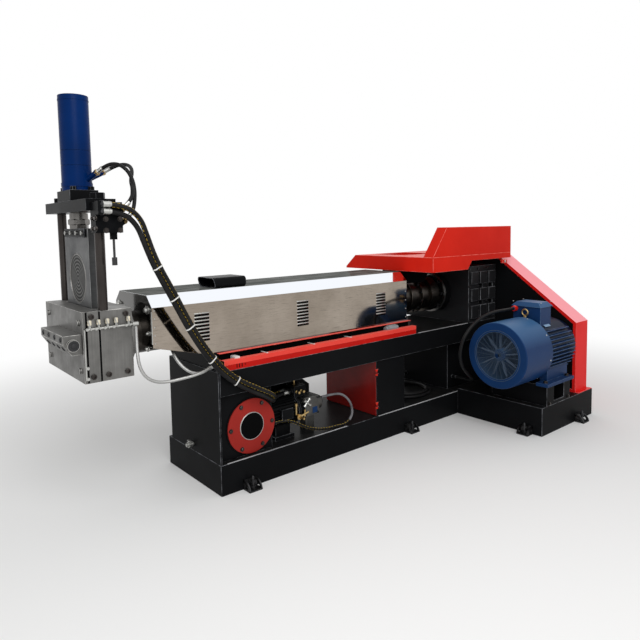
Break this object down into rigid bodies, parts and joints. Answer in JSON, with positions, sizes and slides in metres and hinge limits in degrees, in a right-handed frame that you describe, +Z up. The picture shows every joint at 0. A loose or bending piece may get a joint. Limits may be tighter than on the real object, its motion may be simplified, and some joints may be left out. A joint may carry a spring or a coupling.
{
  "type": "plastic extruder",
  "caption": "Horizontal single-screw plastic extruder with polished barrel cover, die head with hydraulic screen changer, gearbox, belt guard and side-mounted drive motor.",
  "frame": {"origin": "on the floor plane at the inner corner line of the L-shaped base, straight under the barrel axis", "axes": "+X along the barrel from the die head to the gearbox, -Y towards the motor side, +Z up"},
  "size_m": [3.926, 1.662, 2.325],
  "materials": {
    "black_paint": "satin",
    "red_paint": "gloss",
    "polished_steel": "mirror polished sheet",
    "machined_steel": "satin",
    "dark_steel": "satin",
    "chrome_rod": "polished",
    "motor_blue": "semi-gloss",
    "cylinder_blue": "gloss",
    "fan_plastic": "matt",
    "lever_plastic": "gloss",
    "brass": "satin",
    "hose_rubber": "satin",
    "pump_hose_grey": "satin",
    "conduit_steel": "braided hose",
    "bright_fittings": "plated"
  },
  "bodies": {
    "frame": {"barrel": "dark_steel", "barrel_cover": "polished_steel", "barrel_saddles": "black_paint", "base_plinth": "black_paint", "bearing_housing": "black_paint", "belt_guard": "red_paint", "cable_coil": "hose_rubber", "cable_tray": "red_paint", "coil_lead_in": "hose_rubber", "coil_lead_out": "hose_rubber", "conduit_back": "conduit_steel", "conduit_front": "conduit_steel", "control_cabinet": "black_paint", "cylinder_flange": "black_paint", "cylinder_tube": "cylinder_blue", "die_front_plate": "machined_steel", "die_lip_bar": "machined_steel", "die_neck": "dark_steel", "die_rear_plate": "machined_steel", "drain_tap": "bright_fittings", "end_plate": "black_paint", "fan_grille": "dark_steel", "feed_hood": "red_paint", "feed_hopper": "polished_steel", "gearbox_housing": "black_paint", "gearbox_pedestal": "black_paint", "guard_back_plate": "black_paint", "hand_valve": "black_paint", "heater_rail": "dark_steel", "hood_screen": "red_paint", "hose_return": "hose_rubber", "hose_supply": "hose_rubber", "levelling_clips": "dark_steel", "lifting_eye": "brass", "main_beam": "black_paint", "manifold": "machined_steel", "motor_base": "black_paint", "motor_cable": "hose_rubber", "motor_cowl": "motor_blue", "motor_frame": "motor_blue", "motor_rails": "black_paint", "oil_pump": "machined_steel", "oil_tank": "black_paint", "pump_hose": "pump_hose_grey", "pump_motor": "black_paint", "tank_hatch": "red_paint", "terminal_box": "motor_blue", "tie_rods": "chrome_rod", "top_plate": "black_paint", "valve_hose_high": "hose_rubber", "valve_hose_low": "hose_rubber", "vent_chute": "black_paint"},
    "slide": {"screen_slide": "machined_steel", "piston_rod": "chrome_rod"},
    "door": {"cabinet_door": "red_paint"},
    "fan": {"cooling_fan": "fan_plastic"},
    "lever": {"valve_lever": "lever_plastic"}
  },
  "joints": [
    {"name": "screen_change", "type": "slide", "parent": "frame", "child": "slide", "axis": [0, 0, -1], "range_m": [0, 0.34]},
    {"name": "door_swing", "type": "hinge", "parent": "frame", "child": "door", "pos_m": [-0.969, -0.346, 0.4], "axis": [0, 0, 1], "range_deg": [0, 50]},
    {"name": "fan_spin", "type": "hinge", "parent": "frame", "child": "fan", "pos_m": [-0.2, -0.9, 0.626], "axis": [1, 0, 0], "continuous": true},
    {"name": "lever_tilt", "type": "hinge", "parent": "frame", "child": "lever", "pos_m": [-2.882, -0.39, 1.568], "axis": [0, 1, 0], "range_deg": [-15, 15]}
  ]
}
